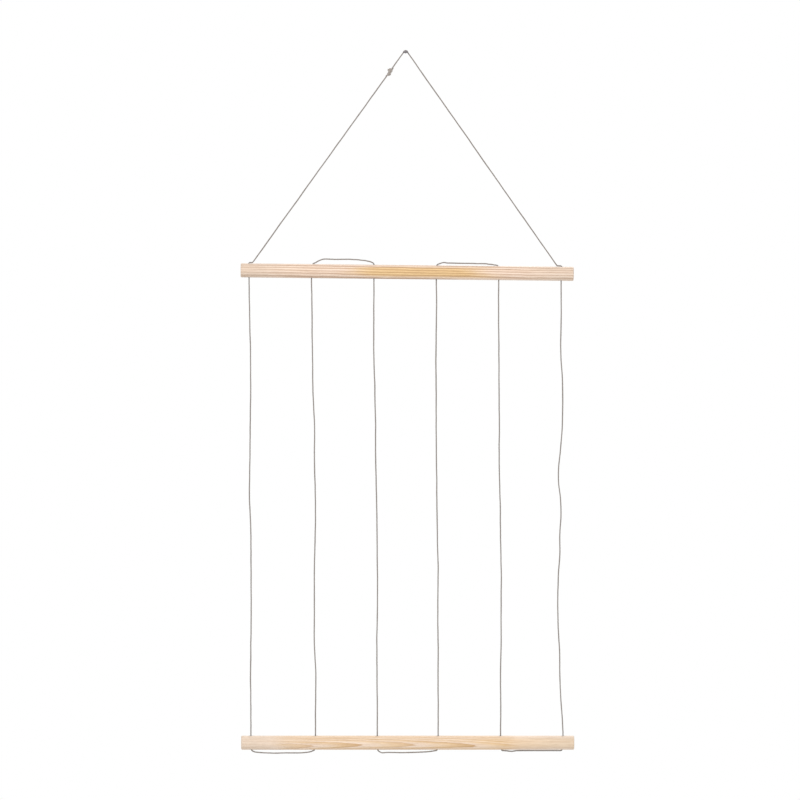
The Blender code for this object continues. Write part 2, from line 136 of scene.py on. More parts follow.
# Strands of the twine
STRAND_COUNT = 3
STRAND_RADIUS = 0.45 * MM
STRAND_OFFSET = 0.36 * MM
STRAND_ANGLES = (-108, -70, -35, 0, 35, 70)
DOME_ANGLES = (78, 52, 26)
LAY_LENGTH = 5.2 * MM
RING_STEP = 0.5 * MM
HAIR_SPACING = 2.6 * MM
STRAND_SHARP_FROM = 62

# Knot in the left leg
KNOT_UPPER_DISTANCE = 28.7 * MM
KNOT_LOWER_DISTANCE = 33.3 * MM
KNOT_UPPER_ASIDE = 0.05 * MM
KNOT_LOWER_ASIDE = -0.5 * MM
KNOT_UPPER_RADIUS = 1.90 * MM
KNOT_LOWER_RADIUS = 1.20 * MM
KNOT_THICKNESS = 0.95
KNOT_WRAP_TURNS = 3.3
KNOT_WRAP_STEP = 1.3 * MM
KNOT_TURN_POINTS = 12
KNOT_RING_STEP = 0.35 * MM

# Nail
NAIL_SHANK_RADIUS = 0.7 * MM
NAIL_BURIED_LENGTH = 12 * MM
NAIL_POINT_LENGTH = 3 * MM
NAIL_HEAD_WIDTH = 6 * MM
NAIL_HEAD_HEIGHT = 3 * MM
NAIL_HEAD_BACK = -11.8 * MM
NAIL_HEAD_FRONT = -13.0 * MM
NAIL_SEGMENTS = 24

# How each string bows sideways on its way down: share of its length, share of the hole pitch
STRING_BOW_SHARES = (
    ((0.08, 0.008), (0.16, 0.018), (0.24, 0.020), (0.32, 0.008), (0.40, 0.0), (0.48, -0.005),
     (0.56, 0.010), (0.64, 0.012), (0.72, 0.012), (0.80, 0.005), (0.88, 0.0), (0.95, 0.003)),
    ((0.08, 0.004), (0.16, 0.006), (0.24, 0.006), (0.32, 0.027), (0.40, 0.022), (0.48, 0.031),
     (0.56, 0.023), (0.64, 0.003), (0.72, -0.002), (0.80, -0.006), (0.88, 0.012), (0.95, 0.004)),
    ((0.08, -0.006), (0.16, -0.010), (0.24, 0.002), (0.32, 0.008), (0.40, 0.008), (0.48, 0.016),
     (0.56, 0.019), (0.64, 0.021), (0.72, 0.019), (0.80, 0.002), (0.88, 0.004), (0.95, 0.005)),
    ((0.04, 0.005), (0.09, -0.006), (0.16, -0.011), (0.24, -0.011), (0.32, -0.010), (0.40, -0.010),
     (0.48, -0.005), (0.56, 0.0), (0.64, 0.010), (0.72, 0.0), (0.80, 0.003), (0.90, 0.003)),
    ((0.08, -0.005), (0.16, -0.002), (0.24, -0.004), (0.32, -0.001), (0.40, -0.003), (0.48, 0.006),
     (0.56, 0.012), (0.64, 0.020), (0.72, 0.017), (0.80, 0.016), (0.88, 0.006), (0.95, 0.004)),
    ((0.08, -0.002), (0.16, -0.006), (0.21, 0.016), (0.28, 0.018), (0.33, 0.005), (0.37, -0.022),
     (0.41, -0.052), (0.44, -0.053), (0.48, -0.024), (0.52, -0.017), (0.56, -0.039), (0.60, -0.036),
     (0.65, -0.062), (0.72, -0.075), (0.77, -0.069), (0.82, -0.050), (0.88, -0.044), (0.94, -0.025)),
)

# How each loop runs between its two holes: share of the way across, share of its rise or drop
# beyond lying on the wood
TOP_LEFT_LOOP_SHARES = (
    (0.021, -0.20), (0.043, 0.02), (0.067, 0.16), (0.095, 0.42), (0.127, 0.66), (0.159, 0.845),
    (0.191, 0.97), (0.25, 0.99), (0.32, 0.96), (0.384, 0.94), (0.48, 0.97), (0.59, 1.0),
    (0.672, 0.95), (0.736, 0.91), (0.80, 0.81), (0.864, 0.72), (0.896, 0.61), (0.929, 0.53),
    (0.961, 0.36), (0.988, 0.14), (0.999, -0.14))
TOP_RIGHT_LOOP_SHARES = (
    (0.012, -0.15), (0.036, 0.25), (0.066, 0.60), (0.098, 0.90), (0.130, 1.0), (0.162, 0.80),
    (0.195, 0.76), (0.26, 0.76), (0.32, 0.73), (0.42, 0.70), (0.51, 0.71), (0.58, 0.71),
    (0.64, 0.64), (0.74, 0.64), (0.80, 0.60), (0.835, 0.41), (0.867, 0.38), (0.90, 0.25),
    (0.932, 0.06))
BOTTOM_LEFT_LOOP_SHARES = (
    (0.012, -0.15), (0.030, 0.19), (0.055, 0.48), (0.090, 0.62), (0.133, 0.74), (0.21, 0.87),
    (0.287, 0.93), (0.366, 1.0), (0.52, 0.90), (0.64, 0.90), (0.753, 0.90), (0.83, 0.77),
    (0.907, 0.51), (0.950, 0.19))
BOTTOM_MIDDLE_LOOP_SHARES = (
    (0.012, -0.09), (0.035, 0.47), (0.060, 0.83), (0.085, 1.0), (0.12, 0.93), (0.168, 0.83),
    (0.25, 0.85), (0.42, 0.93), (0.50, 0.87), (0.64, 0.77), (0.74, 0.64), (0.82, 0.53),
    (0.88, 0.34), (0.935, 0.12))
BOTTOM_RIGHT_LOOP_SHARES = (
    (0.060, 0.06), (0.110, 0.47), (0.150, 0.88), (0.176, 1.0), (0.21, 0.70), (0.256, 0.12),
    (0.32, 0.0), (0.45, 0.0), (0.60, 0.0), (0.75, 0.0), (0.88, 0.0), (0.94, 0.0))


# Camera

def make_camera():
    lens = bpy.data.cameras.new("camera")
    lens.lens = CAMERA_LENS
    lens.sensor_width = CAMERA_SENSOR
    lens.clip_end = 50
    camera = bpy.data.objects.new("camera", lens)
    distance = PICTURE_WIDTH * CAMERA_LENS / CAMERA_SENSOR
    camera.location = (VIEW_X, TWINE_Y - distance, VIEW_Z)
    camera.rotation_euler = (math.pi / 2, 0, 0)
    bpy.context.collection.objects.link(camera)
    bpy.context.scene.camera = camera


# Materials

def linear(red, green, blue):
    """A colour read off the photograph, from 0 to 255, as the shaders take it."""
    return [(c / 255 / 12.92 if c < 10.3 else ((c / 255 + 0.055) / 1.055) ** 2.4)
            for c in (red, green, blue)] + [1.0]


class Shader:
    """A material's node tree, with one call for each node."""

    def __init__(self, name):
        self.material = bpy.data.materials.new(name)
        self.material.use_nodes = True
        self.tree = self.material.node_tree
        self.surface = self.tree.nodes["Principled BSDF"]

    def add(self, kind, inputs=None, **settings):
        node = self.tree.nodes.new("ShaderNode" + kind)
        for key, value in settings.items():
            setattr(node, key, value)
        for key, value in (inputs or {}).items():
            self.put(node.inputs[key], value)
        return node

    def put(self, socket, value):
        if isinstance(value, bpy.types.NodeSocket):
            self.tree.links.new(value, socket)
        else:
            socket.default_value = value

    def math(self, operation, *values, clamp=False):
        node = self.add("Math", operation=operation, use_clamp=clamp)
        for socket, value in zip(node.inputs, values):
            self.put(socket, value)
        return node.outputs[0]

    def vector(self, operation, *values):
        node = self.add("VectorMath", operation=operation)
        for socket, value in zip(node.inputs, values):
            self.put(socket, value)
        return node.outputs["Value" if operation == "DISTANCE" else "Vector"]

    def noise(self, place, grains, detail=2.0, roughness=0.5):
        """Noise with about that many grains a unit of place along each of its axes."""
        stretched = self.vector("MULTIPLY", place, grains)
        node = self.add("TexNoise", {"Vector": stretched, "Scale": 1.0, "Detail": detail,
                                     "Roughness": roughness})
        return node.outputs["Fac"]

    def ramp(self, value, stops):
        node = self.add("ValToRGB", {"Fac": value})
        elements = node.color_ramp.elements
        while len(elements) < len(stops):
            elements.new(0.5)
        for element, (position, colour) in zip(elements, stops):
            element.position = position
            element.color = colour
        return node.outputs["Color"]

    def mix(self, share, first, second, blend="MIX"):
        node = self.add("Mix", data_type="RGBA", blend_type=blend)
        self.put(node.inputs[0], share)
        self.put(node.inputs[6], first)
        self.put(node.inputs[7], second)
        return node.outputs[2]

    def between(self, value, low, high):
        """How far value is from low to high, from 0 to 1, easing in and out."""
        node = self.add("MapRange", {"Value": value, "From Min": low, "From Max": high},
                        interpolation_type="SMOOTHSTEP")
        return node.outputs["Result"]

    def finish(self, **sockets):
        for name, value in sockets.items():
            self.put(self.surface.inputs[name.replace("_", " ")], value)
        return self.material


def pine(name, pith_distance, pith_drift, ring_spacing, ring_walk, wander_share, ring_colours, plain_share,
         warm, warmth_share, cool_share, holes):
    """Sanded pine, with millimetres for distances. The tree's middle lies pith_distance from the
    dowel's axis on its front. pith_drift is the sine of its height there, and ring_walk is how many
    rings the dowel's surface crosses: (at the middle, a metre, a square metre). plain_share is how
    much of the figure is lost towards the ends. The golden heartwood lies between the two places
    in warm."""
    shader = Shader(name)
    place = shader.add("TexCoord").outputs["Object"]
    apart = shader.add("SeparateXYZ", {"Vector": place}).outputs
    along = apart["X"]

    # Growth rings: how many lie between the pith and here, wandering slowly along the length
    across = shader.vector("MULTIPLY", place, (0, 1, 1))
    middle, first_power, second_power = pith_drift
    slope = shader.math("MULTIPLY_ADD", along, second_power, first_power)
    height = shader.math("MAXIMUM", shader.math("MULTIPLY_ADD", along, slope, middle), -0.97)
    less = shader.math("MULTIPLY", height, -1.0)
    forward = shader.math("SQRT", shader.math("MULTIPLY_ADD", height, less, 1.0))
    pith = shader.add("CombineXYZ", {"Y": shader.math("MULTIPLY", forward, -pith_distance * MM),
                                     "Z": shader.math("MULTIPLY", height, pith_distance * MM)})
    distance = shader.vector("DISTANCE", across, pith.outputs["Vector"])
    middle, first_power, second_power = ring_walk
    slope = shader.math("MULTIPLY_ADD", along, second_power, first_power)
    walked = shader.math("MULTIPLY_ADD", along, slope, middle)
    count = shader.math("ADD", walked, shader.math("DIVIDE", distance, ring_spacing * MM))
    wander = shader.noise(place, (9, 60, 60))
    count = shader.math("MULTIPLY_ADD", wander, wander_share, count)
    waver = shader.noise(place, (45, 160, 160))
    count = shader.math("MULTIPLY_ADD", waver, 0.28, count)
    fibrous = shader.noise(place, (110, 2300, 2300))
    rings = shader.math("FRACT", shader.math("MULTIPLY_ADD", fibrous, 0.16, count))

    # Early wood darkens slowly into a line of late wood, differently in each ring
    colour = shader.ramp(rings, [(share, linear(*seen)) for share, seen in ring_colours])
    strength = shader.add("TexWhiteNoise", {"W": shader.math("FLOOR", count)},
                          noise_dimensions="1D").outputs["Value"]
    pale = shader.math("MULTIPLY_ADD", strength, -0.32, 0.32)

    # The figure is lost towards the ends of the dowel, but not on its sawn ends
    from_middle = shader.math("ABSOLUTE", along)
    end = shader.between(from_middle, DOWEL_LENGTH / 2 - 0.5 * MM, DOWEL_LENGTH / 2 - 0.1 * MM)
    from_figure = shader.math("ABSOLUTE", shader.math("SUBTRACT", along, FIGURE_MIDDLE))
    faded = shader.math("SUBTRACT", shader.between(from_figure, FIGURE_CLEAR, FIGURE_LOST), end, clamp=True)
    plain = shader.math("MULTIPLY", faded, plain_share)
    colour = shader.mix(shader.math("MAXIMUM", pale, plain), colour, linear(*ring_colours[0][1]))

    # Warm heartwood, whose warmth fades towards the dowel's top and underside as painted light and shade, and
    # a cooler tone towards the ends
    blotch = shader.noise(place, (14, 110, 110), 3.0)
    warm_place = shader.math("MULTIPLY_ADD", blotch, 60 * MM, along)
    rise = shader.between(warm_place, warm[0] * MM, (warm[0] + 60) * MM)
    fall = shader.between(warm_place, warm[1] * MM, (warm[1] + 60) * MM)
    # Painted light and shade: the top and the underside of the dowel lose the heartwood's warmth
    rim_painted_light = shader.between(shader.math("ABSOLUTE", apart["Z"]), 3.4 * MM, 7.8 * MM)
    warmth = shader.math("SUBTRACT", rise, shader.math("MAXIMUM", fall, rim_painted_light), clamp=True)
    golden = shader.mix(1.0, colour, linear(246, 232, 188), "MULTIPLY")
    colour = shader.mix(shader.math("MULTIPLY", warmth, warmth_share), colour, golden)
    coolness = shader.between(from_middle, 120 * MM, 196 * MM)
    colour = shader.mix(shader.math("MULTIPLY", coolness, cool_share), colour, linear(219, 203, 185))

    # Fine fibres, and the short dark dashes of resin canals
    fibres = shader.noise(place, (60, 5200, 5200), 4.0, 0.65)
    colour = shader.mix(0.6, colour, shader.ramp(fibres, (
        (0.30, linear(182, 160, 138)), (0.50, linear(255, 255, 255)))), "MULTIPLY")
    streaks = shader.noise(place, (20, 1000, 1000))
    colour = shader.mix(0.4, colour, shader.ramp(streaks, (
        (0.34, linear(226, 210, 192)), (0.56, linear(255, 255, 255)))), "MULTIPLY")
    canals = shader.noise(place, (95, 2600, 2600), 1.0)
    canal = shader.between(canals, 0.70, 0.80)
    colour = shader.mix(shader.math("MULTIPLY", canal, 0.35), colour, linear(176, 132, 98))

    # Painted shade: the wood round the holes is darkened, standing in for the shade in the hole mouths and
    # the twine's shadow there
    flat = shader.vector("MULTIPLY", place, (1, 1, 0))
    nearest = shader.vector("DISTANCE", flat, (holes[0], 0, 0))
    for hole in holes[1:]:
        nearest = shader.math("MINIMUM", nearest, shader.vector("DISTANCE", flat, (hole, 0, 0)))
    hole_mouth_shade = shader.between(nearest, 3.8 * MM, HOLE_RADIUS)
    colour = shader.mix(shader.math("MULTIPLY", hole_mouth_shade, 0.6), colour, linear(152, 124, 104))

    # Sawn ends are darker, as end grain drinks in dust and light
    colour = shader.mix(shader.math("MULTIPLY", end, 0.45), colour, linear(200, 168, 134))

    # Sanding leaves the late wood a little proud, and the fibres raised
    late = shader.between(rings, 0.62, 0.9)
    relief = shader.math("MULTIPLY_ADD", late, 0.05, fibres)
    bump = shader.add("Bump", {"Height": relief, "Strength": 0.4, "Distance": 0.06 * MM})
    roughness = shader.math("MULTIPLY_ADD", fibres, 0.22, 0.46)
    return shader.finish(Base_Color=colour, Roughness=roughness, Normal=bump.outputs["Normal"],
                         Specular_IOR_Level=0.35)


def twine_fibre(name, dark, middle, pale):
    """Thin natural twine, greyish, with lengthwise fibres that follow the lay of the strands."""
    shader = Shader(name)
    lay = shader.add("UVMap", uv_map="lay").outputs["UV"]
    place = shader.add("TexCoord").outputs["Object"]
    fibres = shader.noise(lay, (260, 46, 1), 3.0, 0.6)
    patches = shader.noise(place, (260, 260, 260))
    colour = shader.ramp(fibres, (
        (0.28, linear(*dark)), (0.50, linear(*middle)), (0.74, linear(*pale))))
    colour = shader.mix(shader.math("MULTIPLY", patches, 0.55), colour, linear(150, 139, 134))
    bump = shader.add("Bump", {"Height": fibres, "Strength": 0.6, "Distance": 0.08 * MM})
    return shader.finish(Base_Color=colour, Normal=bump.outputs["Normal"], Roughness=0.86,
                         Specular_IOR_Level=0.2, Sheen_Weight=0.15, Sheen_Roughness=0.5)


def dull_steel():
    """A small dark nail, scuffed brighter where the hammer met it."""
    shader = Shader("steel")
    place = shader.add("TexCoord").outputs["Object"]
    scuffs = shader.noise(place, (900, 900, 900), 3.0, 0.6)
    scratches = shader.noise(place, (6000, 500, 900))
    colour = shader.mix(scuffs, linear(78, 74, 76), linear(132, 126, 128))
    roughness = shader.math("MULTIPLY_ADD", scratches, 0.3, 0.28)
    bump = shader.add("Bump", {"Height": scratches, "Strength": 0.25, "Distance": 0.03 * MM})
    return shader.finish(Base_Color=colour, Roughness=roughness, Metallic=0.85,
                         Normal=bump.outputs["Normal"])


# Shapes

class Draft:
    """A mesh in the making: its points and its faces, each face with its corners' places on the lay."""

    def __init__(self):
        self.points = []
        self.faces = []
        self.lay = []

    def loft(self, rings, lay_lengths):
        """Joins closed rings of points into a tube and closes both ends."""
        count = len(rings[0])
        first = len(self.points)
        for ring in rings:
            self.points += ring
        for number, (near, far) in enumerate(zip(lay_lengths, lay_lengths[1:])):
            base = first + number * count
            for side in range(count):
                after = (side + 1) % count
                self.faces.append((base + side, base + after, base + count + after, base + count + side))
                low, high = side / count, (side + 1) / count
                self.lay.append(((near, low), (near, high), (far, high), (far, low)))
        last = first + (len(rings) - 1) * count
        for start, order, length in ((first, -1, lay_lengths[0]), (last, 1, lay_lengths[-1])):
            self.faces.append(tuple(range(start, start + count))[::order])
            self.lay.append(tuple((length, side / count) for side in range(count))[::order])

    def piece(self, name, material, sharp_from):
        mesh = bpy.data.meshes.new(name)
        mesh.from_pydata(self.points, [], self.faces)
        lay = mesh.uv_layers.new(name="lay")
        lay.data.foreach_set("uv", [part for face in self.lay for corner in face for part in corner])
        mesh.materials.append(material)
        mesh.shade_smooth()
        mesh.set_sharp_from_angle(angle=math.radians(sharp_from))
        piece = bpy.data.objects.new(name, mesh)
        bpy.context.collection.objects.link(piece)
        return piece


def smooth_route(points, steps):
    """Points along a centripetal Catmull-Rom curve through the given ones."""
    padded = [2 * points[0] - points[1], *points, 2 * points[-1] - points[-2]]
    route = []
    for a, b, c, d in zip(padded, padded[1:], padded[2:], padded[3:]):
        t_b = math.sqrt((b - a).length)
        t_c = t_b + math.sqrt((c - b).length)
        t_d = t_c + math.sqrt((d - c).length)
        for step in range(steps):
            t = t_b + (t_c - t_b) * step / steps
            ab = a + (b - a) * (t / t_b)
            bc = b + (c - b) * ((t - t_b) / (t_c - t_b))
            cd = c + (d - c) * ((t - t_c) / (t_d - t_c))
            abc = ab + (bc - ab) * (t / t_c)
            bcd = bc + (cd - bc) * ((t - t_b) / (t_d - t_b))
            route.append(abc + (bcd - abc) * ((t - t_b) / (t_c - t_b)))
    return route + [points[-1]]


def lengths_along(points):
    lengths = [0.0]
    for a, b in zip(points, points[1:]):
        lengths.append(lengths[-1] + (b - a).length)
    return lengths


def evenly(points, step):
    """The same route with points an even distance apart, at most step."""
    lengths = lengths_along(points)
    count = max(2, math.ceil(lengths[-1] / step))
    route = []
    leg = 0
    for number in range(count + 1):
        target = lengths[-1] * number / count
        while leg < len(points) - 2 and lengths[leg + 1] < target:
            leg += 1
        span = lengths[leg + 1] - lengths[leg]
        share = (target - lengths[leg]) / span if span else 0
        route.append(points[leg].lerp(points[leg + 1], min(max(share, 0), 1)))
    return route


def strand_outline():
    """The twine's cross-section: three strands side by side, as (out, across) points."""
    outline = []
    for strand in range(STRAND_COUNT):
        heading = Matrix.Rotation(math.tau * strand / STRAND_COUNT, 2)
        for turn in STRAND_ANGLES:
            spoke = Vector((math.cos(math.radians(turn)), math.sin(math.radians(turn))))
            outline.append(heading @ (Vector((STRAND_OFFSET, 0)) + STRAND_RADIUS * spoke))
    return outline


OUTLINE = strand_outline()


def twist_along(draft, line, laid=0.0, thickness=1.0, side=Vector((0, 1, 0))):
    """Lays twisted twine along a line. laid is how much twine comes before it."""
    tangents = [(b - a).normalized() for a, b in zip(line, line[1:])]
    between = [(a + b).normalized() for a, b in zip(tangents, tangents[1:])]
    tangents = [tangents[0], *between, tangents[-1]]
    radius = TWINE_RADIUS * thickness
    places = []
    for angle in DOME_ANGLES:
        tip = math.radians(angle)
        places.append((line[0] - tangents[0] * radius * math.sin(tip), tangents[0], math.cos(tip)))
    places += [(point, tangent, 1.0) for point, tangent in zip(line, tangents)]
    for angle in reversed(DOME_ANGLES):
        tip = math.radians(angle)
        places.append((line[-1] + tangents[-1] * radius * math.sin(tip), tangents[-1], math.cos(tip)))
    lengths = lengths_along([place for place, _, _ in places])
    before = laid - lengths[len(DOME_ANGLES)]
    rings = []
    frames = []
    turned_from = places[0][1]
    for (place, tangent, share), length in zip(places, lengths):
        side = turned_from.rotation_difference(tangent) @ side
        side = (side - tangent * side.dot(tangent)).normalized()
        turned_from = tangent
        across = tangent.cross(side)
        here = before + length
        fine = 0.08 * noise.noise(Vector((here * 90, 0.5, 0.5)))
        coarse = 0.10 * noise.noise(Vector((here * 25, 3.5, 0.5)))
        uneven = 1 + fine + coarse
        twist = math.tau * here / LAY_LENGTH + 0.5 * noise.noise(Vector((here * 60, 7.5, 0.5)))
        turn = Matrix.Rotation(twist, 2)
        ring = []
        for point in OUTLINE:
            out, over = turn @ point * (share * uneven * thickness)
            ring.append(place + side * out + across * over)
        rings.append(ring)
        frames.append((place, tangent, side, across))
    draft.loft(rings, [before + length for length in lengths])
    return frames[len(DOME_ANGLES):-len(DOME_ANGLES)]


def add_hairs(draft, frames, chance, thickness=1.0):
    """Loose fibre ends that stand off the twine, mostly swept along it."""
    for place, tangent, side, across in frames:
        if chance.random() > RING_STEP / HAIR_SPACING:
            continue
        around = chance.uniform(0, math.tau)
        out = side * math.cos(around) + across * math.sin(around)
        sweep = tangent * chance.choice((-1, 1)) * chance.uniform(0.5, 1.6)
        length = chance.uniform(0.5, 1.5) * MM
        width = chance.uniform(0.020, 0.035) * MM
        root = place + out * (TWINE_RADIUS * thickness * 0.6)
        heading = (out + sweep).normalized()
        bend = (out * chance.uniform(-0.5, 0.2) + tangent.cross(out) * chance.uniform(-0.6, 0.6))
        flat = heading.cross(tangent).normalized()
        deep = heading.cross(flat)
        first = len(draft.points)
        stations = ((0.0, 1.0), (0.5, 0.8), (1.0, 0.25))
        for share, wide in stations:
            middle = root + heading * (length * share) + bend * (length * share * share * 0.5)
            for corner in range(3):
                spoke = math.tau * corner / 3
                draft.points.append(middle + (flat * math.cos(spoke) + deep * math.sin(spoke)) * width * wide)
        for station in range(len(stations) - 1):
            for corner in range(3):
                a = first + station * 3 + corner
                b = first + station * 3 + (corner + 1) % 3
                draft.faces.append((a, b, b + 3, a + 3))
                draft.lay.append(((0, 0), (0, 1), (1, 1), (1, 0)))
        draft.faces.append((first + 2, first + 1, first))
        draft.faces.append((first + 6, first + 7, first + 8))
        draft.lay += [((0, 0), (0, 1), (1, 1))] * 2


# Places on the dowels: along is from the dowel's middle, height is from its axis

class Dowel:
    def __init__(self, centre, tilt, holes_offset, drift_shares):
        self.centre = centre
        self.rotation = Matrix.Rotation(tilt, 3, "Y")
        self.holes = [
            holes_offset + HOLE_PITCH * (number - (HOLE_COUNT - 1) / 2 + drift)
            for number, drift in zip(range(HOLE_COUNT), drift_shares)
        ]

    def place(self, along, height):
        return self.centre + self.rotation @ Vector((along, 0, height))

    def mouth_bend(self, mouth, towards, side):
        """Twine rising out of a hole and lying down along the wood; side is 1 above, -1 below."""
        bend = []
        for step in range(BEND_STEPS + 1):
            turn = math.pi / 2 * step / BEND_STEPS
            out = DOWEL_RADIUS + LYING_HEIGHT - MOUTH_BEND_RADIUS * (1 - math.sin(turn))
            bend.append(self.place(mouth + towards * MOUTH_BEND_RADIUS * (1 - math.cos(turn)), side * out))
        return bend

    def in_hole(self, hole, mouth, side):
        """Twine inside a hole, from its bending stretch beyond the far side to near this mouth."""
        far = MOUTH_HINGE_HEIGHT - IN_HOLE_REACH
        near = DOWEL_RADIUS - MOUTH_BEND_RADIUS
        return [self.place(hole, -side * far), self.place(hole, 0.0), self.place(mouth, side * near)]

    def loop(self, start_number, side, reach, shares, start_lies, end_lies):
        """A loop from one hole to the next; each end lies on the wood or drops straight in."""
        start, end = self.holes[start_number], self.holes[start_number + 1]
        start_mouth = start + MOUTH_LEAN if start_lies else start
        end_mouth = end - MOUTH_LEAN if end_lies else end
        route = self.in_hole(start, start_mouth, side)
        if start_lies:
            route += self.mouth_bend(start_mouth, 1, side)[1:]
        for across, share in shares:
            height = DOWEL_RADIUS + LYING_HEIGHT + share * (reach - LYING_HEIGHT)
            route.append(self.place(start + across * (end - start), side * height))
        if end_lies:
            route += self.mouth_bend(end_mouth, -1, side)[:0:-1]
        return smooth_route(route + self.in_hole(end, end_mouth, side)[::-1], 8)


# The twine's route, as (name, points) sections in order round the loop

def leg_line(foot, side):
    """(direction up the leg, point where it leaves the turn over the nail)."""
    away = Vector((foot.x, 0, foot.z))
    lean = math.asin(TURN_RADIUS / away.length)
    bearing = math.atan2(away.z, away.x) + side * (math.pi / 2 - lean)
    touch = Vector((TURN_RADIUS * math.cos(bearing), TWINE_Y, TURN_RADIUS * math.sin(bearing)))
    return (touch - foot).normalized(), touch


def rounded_corner(before, corner, after, radius):
    """An arc that rounds the corner between two straight runs."""
    inward, outward = (before - corner).normalized(), (after - corner).normalized()
    half = inward.angle(outward) / 2
    reach = radius / math.tan(half)
    middle = corner + (inward + outward).normalized() * (radius / math.sin(half))
    start, end = corner + inward * reach, corner + outward * reach
    spoke = start - middle
    turn = spoke.rotation_difference(end - middle)
    axis, angle = turn.to_axis_angle()
    return [middle + Matrix.Rotation(angle * step / 8, 3, axis) @ spoke for step in range(9)]


def wandering(points, seed, sway):
    """The route with the small waves of limp twine, and none at its ends."""
    line = evenly(points, RING_STEP * 2)
    lengths = lengths_along(line)
    for number, length in enumerate(lengths):
        ends = min(1, length / WAVE_FADE, (lengths[-1] - length) / WAVE_FADE)
        short = noise.noise(Vector((length * 70, seed, 0.3))) * SHORT_WAVE
        long = noise.noise(Vector((length * 22, seed, 5.3))) * LONG_WAVE
        deep = noise.noise(Vector((length * 18, seed, 9.3))) * sway
        line[number] = line[number] + Vector((short + long, deep, 0)) * ends
    return line


def string_sections(number, top, bottom):
    """(head, string, foot) of one string, each from the top down."""
    hinge = top.place(top.holes[number], -MOUTH_HINGE_HEIGHT)
    head_start = top.place(top.holes[number], IN_HOLE_REACH - MOUTH_HINGE_HEIGHT)
    upper = hinge - Vector((0, 0, STUB_LENGTH))
    foot_hinge = bottom.place(bottom.holes[number], MOUTH_HINGE_HEIGHT)
    foot_end = bottom.place(bottom.holes[number], MOUTH_HINGE_HEIGHT - IN_HOLE_REACH)
    lower = foot_hinge + Vector((0, 0, STUB_LENGTH))
    bows = [upper.lerp(lower, down) + Vector((aside * HOLE_PITCH, 0, 0))
            for down, aside in STRING_BOW_SHARES[number]]
    sway = SLACK_STRING_SWAY if number == HOLE_COUNT - 1 else STRING_SWAY
    string = wandering(smooth_route([upper, *bows, lower], 16), number * 3.7, sway)
    return [head_start, hinge, upper], string, [lower, foot_hinge, foot_end]


def twine_sections(top, bottom):
    """The whole loop of twine, from the nail round all the holes and back."""
    lying = DOWEL_RADIUS + LYING_HEIGHT
    left_foot = top.place(top.holes[0] + LEFT_END_RUN, lying)
    right_foot = top.place(top.holes[-1] - RIGHT_END_RUN, lying)
    left_up, left_touch = leg_line(left_foot, -1)
    right_up, right_touch = leg_line(right_foot, 1)
    first = math.atan2(right_touch.z, right_touch.x)
    last = math.atan2(left_touch.z, left_touch.x)
    turn = []
    for step in range(17):
        angle = first + (last - first) * step / 16
        turn.append(Vector((TURN_RADIUS * math.cos(angle), TWINE_Y, TURN_RADIUS * math.sin(angle))))
    sections = [("twine_over_nail", turn)]

    def leg(foot, up, touch, hole, towards, seed):
        """A hanger leg's sections, from the nail down into its end hole."""
        high = touch - up * 2 * LIFT_REACH
        low = foot + up * ELBOW_REACH
        mouth = hole - towards * MOUTH_LEAN
        bend = top.mouth_bend(mouth, towards, 1)[::-1]
        radius = min(ELBOW_RADIUS, (foot - bend[0]).length)
        elbow = [low, *rounded_corner(low, foot, bend[0], radius), bend[0]]
        return [[touch, high], wandering([high, low], seed, LEG_SWAY), elbow,
                [*bend[:-1], *smooth_route(top.in_hole(hole, mouth, 1)[::-1], 6)]]

    left = leg(left_foot, left_up, left_touch, top.holes[0], 1, 31.1)
    right = leg(right_foot, right_up, right_touch, top.holes[-1], -1, 47.9)
    names = ("lift", "leg", "elbow", "end")
    sections += [(f"twine_{name}_left", points) for name, points in zip(names, left)]
    loops = (
        ("twine_under_left", bottom.loop(0, -1, BOTTOM_LEFT_LOOP_DROP, BOTTOM_LEFT_LOOP_SHARES, False, True)),
        ("twine_over_left", top.loop(1, 1, TOP_LEFT_LOOP_RISE, TOP_LEFT_LOOP_SHARES, False, False)),
        ("twine_under_middle",
         bottom.loop(2, -1, BOTTOM_MIDDLE_LOOP_DROP, BOTTOM_MIDDLE_LOOP_SHARES, False, True)),
        ("twine_over_right", top.loop(3, 1, TOP_RIGHT_LOOP_RISE, TOP_RIGHT_LOOP_SHARES, False, True)),
        ("twine_under_right",
         bottom.loop(4, -1, BOTTOM_RIGHT_LOOP_DROP, BOTTOM_RIGHT_LOOP_SHARES, True, True)),
    )
    for number in range(HOLE_COUNT):
        parts = list(zip(("head", "string", "foot"), string_sections(number, top, bottom)))
        if number % 2:
            parts = [(name, points[::-1]) for name, points in reversed(parts)]
        sections += [(f"twine_{name}_{number + 1}", points) for name, points in parts]
        if number < len(loops):
            sections.append(loops[number])
    sections += [(f"twine_{name}_right", points[::-1]) for name, points in reversed(list(zip(names, right)))]
    return sections


# Pieces of twine: what each rides on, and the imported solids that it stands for

def leg_nodes(side):
    return ("hanger_left_upper", "hanger_left_lower") if side == "left" else ("hanger_right",)


def ride_and_replace(piece, name):
    part, _, which = name.removeprefix("twine_").partition("_")
    if part == "string":
        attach(piece, f"string_{which}")
        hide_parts(f"string_{which}")
    elif part == "head":
        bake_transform(piece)
        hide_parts(f"string_{which}_head")
    elif part == "foot":
        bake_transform(piece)
        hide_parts(f"string_{which}_foot")
    elif part == "lift":
        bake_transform(piece)
    elif part == "leg":
        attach(piece, "hanger")
        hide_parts(*leg_nodes(which))
    elif part == "elbow":
        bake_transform(piece)
    elif part == "end":
        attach(piece, "top_bar")
        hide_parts(f"top_end_turn_{which}")
    elif name == "twine_over_nail":
        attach(piece, "nail_turn")
        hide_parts("hanger_turn")
    else:
        bar = {"over": "top", "under": "bottom"}[part]
        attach(piece, f"{bar}_bar")
        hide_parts(f"{bar}_loop_{which}")


